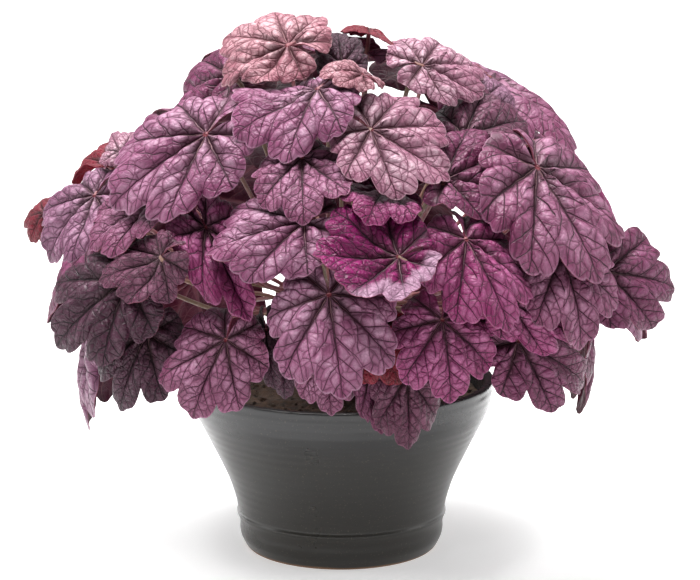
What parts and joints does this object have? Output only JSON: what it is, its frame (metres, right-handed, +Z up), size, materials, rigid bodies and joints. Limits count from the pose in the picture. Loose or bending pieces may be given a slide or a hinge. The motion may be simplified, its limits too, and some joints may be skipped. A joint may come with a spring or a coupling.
{
  "type": "potted heuchera",
  "caption": "Heuchera in a glazed pot: a rounded mound of lobed silver-pink and plum leaves with dark veins, on stalks from one crown in soil.",
  "frame": {"origin": "centre of the pot's flat foot", "axes": "+Z up along the pot's axis, -Y towards the side that the picture shows, +X to the picture's right"},
  "size_m": [0.3925, 0.3866, 0.3388],
  "materials": {
    "glaze": "dark charcoal glaze, glossy",
    "soil": "dark moist potting soil, rough",
    "crown": "brown woody crown, rough",
    "leaf_silver": "silver pink between dark veins, soft satin",
    "leaf_salmon": "salmon silver, soft satin",
    "leaf_purple": "plum purple, soft satin",
    "leaf_magenta": "magenta pink, soft satin",
    "leaf_pale": "pale silver pink, soft satin",
    "leaf_pink": "rose pink, soft satin",
    "leaf_lilac": "silvery lilac, soft satin",
    "leaf_dusk": "dusky pink, soft satin",
    "leaf_dark": "dark plum, soft satin",
    "leaf_burgundy": "deep burgundy, soft satin"
  },
  "bodies": {
    "root": {"pot": "glaze", "soil": "soil", "crown": "crown", "leaf_low_behind": "leaf_dark", "leaf_low_middle_left": "leaf_dark", "leaf_bottom_middle": "leaf_pink", "leaf_bottom_narrow": "leaf_purple", "leaf_bottom_right_hung": "leaf_dusk", "leaf_red_lobe": "leaf_burgundy", "leaf_bottom_left_dark": "leaf_dark", "leaf_low_left_pink": "leaf_pink", "leaf_low_right": "leaf_purple", "leaf_low_right_magenta": "leaf_magenta", "leaf_left_dark": "leaf_dark", "leaf_far_right": "leaf_purple", "leaf_low_right_upper": "leaf_magenta", "leaf_right_middle": "leaf_pink", "leaf_low_middle": "leaf_silver", "leaf_left_folded": "leaf_magenta", "leaf_left_small": "leaf_dusk", "leaf_far_left_dark_red": "leaf_burgundy", "leaf_far_left_silver": "leaf_lilac", "leaf_left_green_edge": "leaf_pink", "leaf_right_twisted": "leaf_magenta", "leaf_left_middle": "leaf_silver", "leaf_middle_bowl": "leaf_magenta", "leaf_inner_magenta": "leaf_magenta", "leaf_upper_right_lilac": "leaf_purple", "leaf_upper_right_dark": "leaf_dark", "leaf_inner_right": "leaf_purple", "leaf_middle_pink": "leaf_pink", "leaf_far_left_burgundy": "leaf_burgundy", "leaf_far_left_curl": "leaf_pale", "leaf_right_large": "leaf_pink", "leaf_upper_left": "leaf_silver", "leaf_back_left_purple": "leaf_purple", "leaf_upper_right_pale": "leaf_pale", "leaf_top_red": "leaf_burgundy", "leaf_top_dark": "leaf_dark", "leaf_top_right_pale": "leaf_pale", "leaf_top_middle": "leaf_silver", "leaf_young_curl": "leaf_salmon", "leaf_top_left": "leaf_salmon", "leaf_back_1_1": "leaf_purple", "leaf_back_1_2": "leaf_silver", "leaf_back_1_3": "leaf_magenta", "leaf_back_1_4": "leaf_pink", "leaf_back_1_5": "leaf_lilac", "leaf_back_2_1": "leaf_silver", "leaf_back_2_2": "leaf_magenta", "leaf_back_2_3": "leaf_pink", "leaf_back_2_4": "leaf_lilac", "leaf_back_2_5": "leaf_purple", "leaf_back_3_1": "leaf_magenta", "leaf_back_3_2": "leaf_pink", "leaf_back_3_3": "leaf_lilac", "leaf_back_3_4": "leaf_purple", "leaf_back_4_1": "leaf_pink", "leaf_back_4_2": "leaf_lilac", "leaf_back_4_3": "leaf_purple"}
  },
  "joints": []
}
